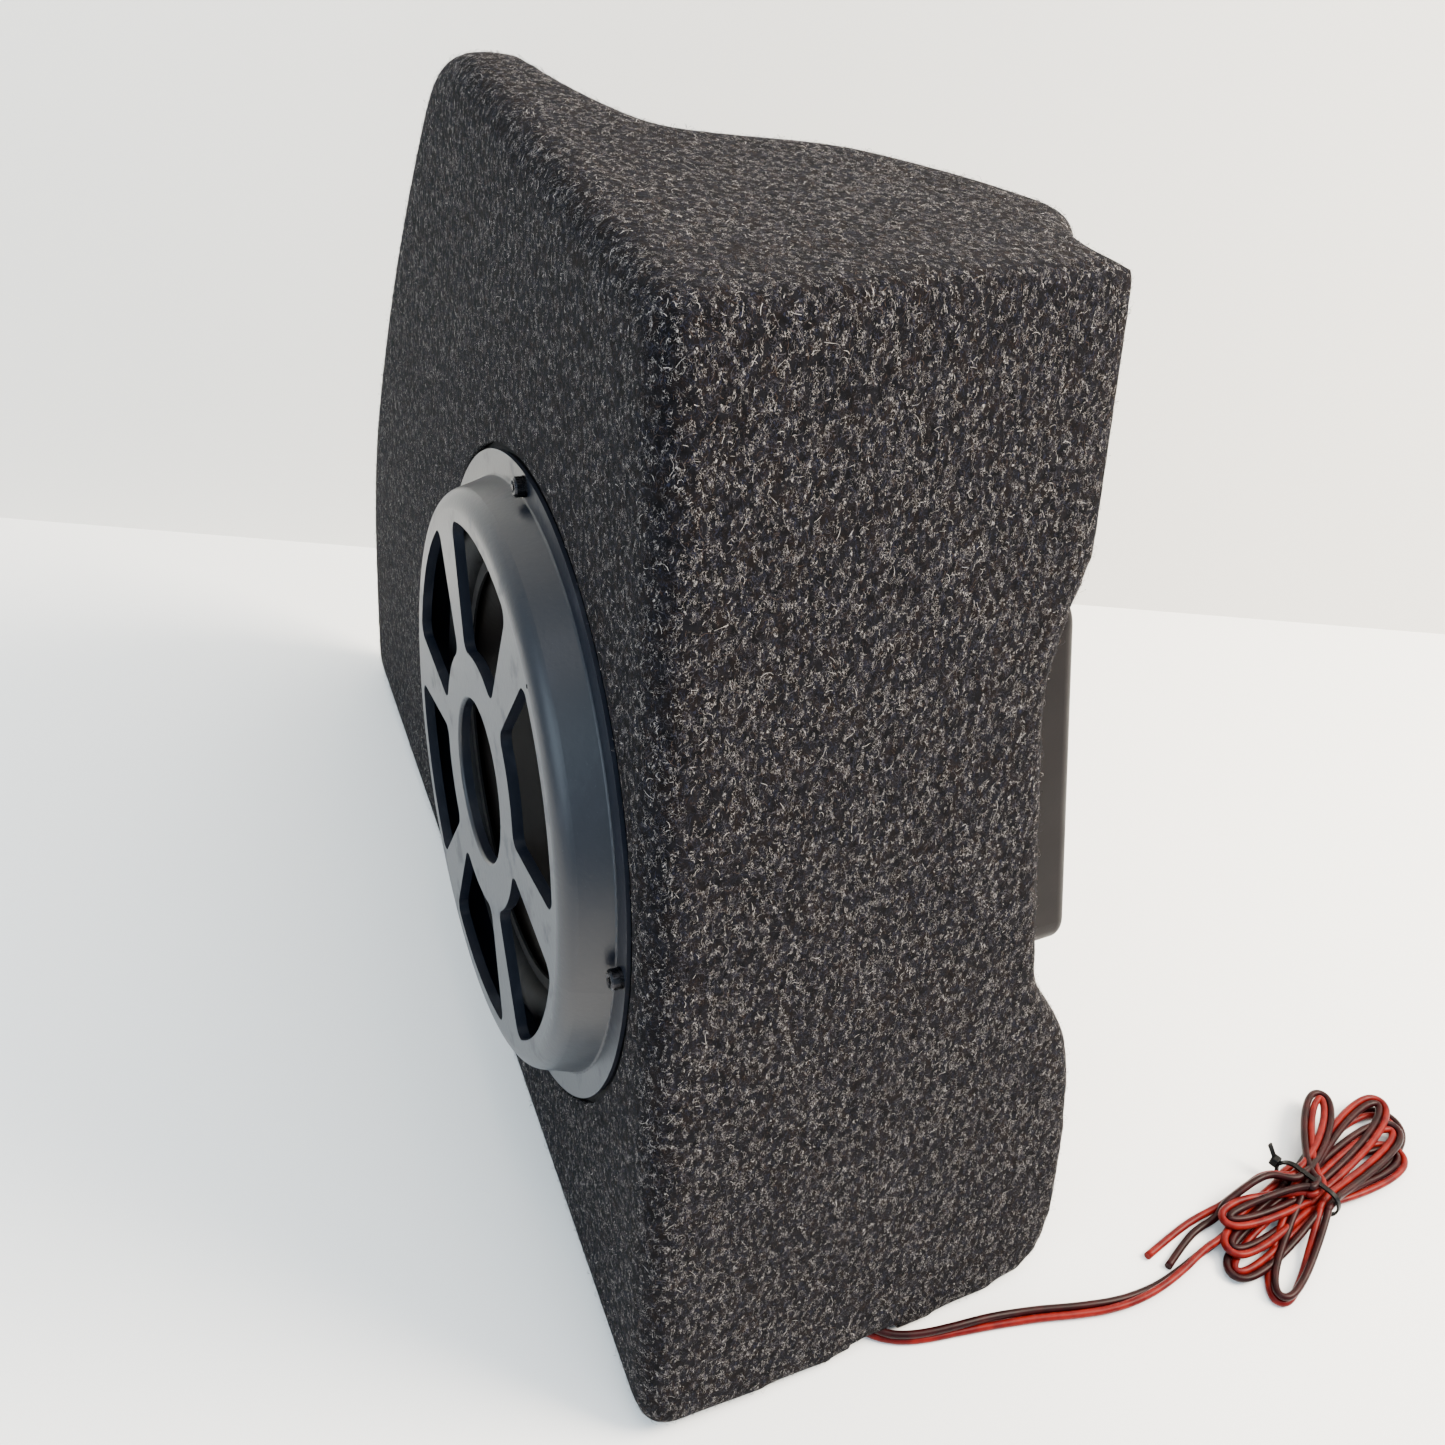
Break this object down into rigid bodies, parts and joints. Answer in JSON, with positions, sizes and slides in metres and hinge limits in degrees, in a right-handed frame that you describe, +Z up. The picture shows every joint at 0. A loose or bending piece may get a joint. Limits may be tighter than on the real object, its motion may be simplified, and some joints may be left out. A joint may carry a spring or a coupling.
{
  "type": "powered car subwoofer",
  "caption": "Carpeted corner enclosure with a round driver behind a pressed spoked grille, a slim amplifier module in its waisted back and a two-core lead tied in a hank.",
  "frame": {"origin": "centre of the footprint of the cabinet with its grille and module, on the floor", "axes": "+Z up, the driver faces -Y, the deep side with the lead is towards +X"},
  "size_m": [0.5851, 0.4554, 0.436],
  "materials": {
    "carpet": "matt",
    "shell_fibre": "matt",
    "board_wood": "matt",
    "wadding": "matt",
    "basket_paint": "satin",
    "foam_black": "matt",
    "cone_black": "matt",
    "surround_rubber": "matt",
    "spider_cloth": "matt",
    "tinsel_copper": "satin",
    "steel_zinc": "satin",
    "ferrite": "matt",
    "former_aluminium": "satin",
    "copper_wire": "satin",
    "plastic_black": "matt",
    "brass_tag": "satin",
    "grille_paint": "satin",
    "screw_black": "satin",
    "casing_plastic": "satin",
    "board_green": "gloss",
    "capacitor_sleeve": "gloss",
    "terminal_green": "gloss",
    "fuse_amber": "gloss",
    "jack_nickel": "gloss",
    "lamp_red": "gloss",
    "grommet_rubber": "matt",
    "lead_red": "satin",
    "lead_dark": "satin",
    "tie_black": "satin"
  },
  "bodies": {
    "cabinet": {"acoustic_wadding": "wadding", "amp_base_plate": "former_aluminium", "amp_cover": "casing_plastic", "amp_screws": "screw_black", "amp_seal": "foam_black", "blade_fuse": "fuse_amber", "board_standoffs": "brass_tag", "cable_tie": "tie_black", "carpet_cover": "carpet", "circuit_board": "board_green", "driver_frame": "basket_paint", "enclosure_shell": "shell_fibre", "filter_chokes": "copper_wire", "frame_gasket": "foam_black", "front_baffle": "board_wood", "grille": "grille_paint", "grille_screws": "screw_black", "input_jacks": "jack_nickel", "lead_grommet": "grommet_rubber", "lead_hank": "lead_red", "lead_run": "lead_red", "lead_tail_dark": "lead_dark", "lead_tail_red": "lead_red", "lower_brace": "board_wood", "magnet": "ferrite", "pole_yoke": "steel_zinc", "potentiometers": "plastic_black", "power_lamp": "lamp_red", "power_transistors": "plastic_black", "reservoir_capacitors": "capacitor_sleeve", "screw_washers": "screw_black", "speaker_loom": "lead_dark", "supply_loom": "lead_red", "supply_toroid": "ferrite", "switch_body": "steel_zinc", "terminal_block": "terminal_green", "terminal_board": "plastic_black", "terminal_tags": "brass_tag", "top_plate": "steel_zinc", "transistor_bar": "former_aluminium", "upper_brace": "board_wood"},
    "cone_assembly": {"cone": "cone_black", "dust_cap": "cone_black", "voice_coil_former": "former_aluminium", "voice_coil_winding": "copper_wire", "surround": "surround_rubber", "spider": "spider_cloth", "tinsel_leads": "tinsel_copper"},
    "gain_knob_body": {"gain_knob": "plastic_black"},
    "crossover_knob_body": {"crossover_knob": "plastic_black"},
    "phase_switch_body": {"phase_switch": "plastic_black"}
  },
  "joints": [
    {"name": "cone_slide", "type": "slide", "parent": "cabinet", "child": "cone_assembly", "axis": [0, 1, 0], "range_m": [-0.008, 0.008], "stiffness_N_per_m": 2200, "deforming": ["surround", "spider", "tinsel_leads"]},
    {"name": "gain_knob_turn", "type": "hinge", "parent": "cabinet", "child": "gain_knob_body", "pos_m": [0.12847, 0.08877, 0.19398], "axis": [0, 0.9913, 0.1317], "range_deg": [-140, 140]},
    {"name": "crossover_knob_turn", "type": "hinge", "parent": "cabinet", "child": "crossover_knob_body", "pos_m": [0.10847, 0.08877, 0.19398], "axis": [0, 0.9913, 0.1317], "range_deg": [-140, 140]},
    {"name": "phase_switch_slide", "type": "slide", "parent": "cabinet", "child": "phase_switch_body", "axis": [-1, 0, 0], "range_m": [0, 0.0042]}
  ]
}
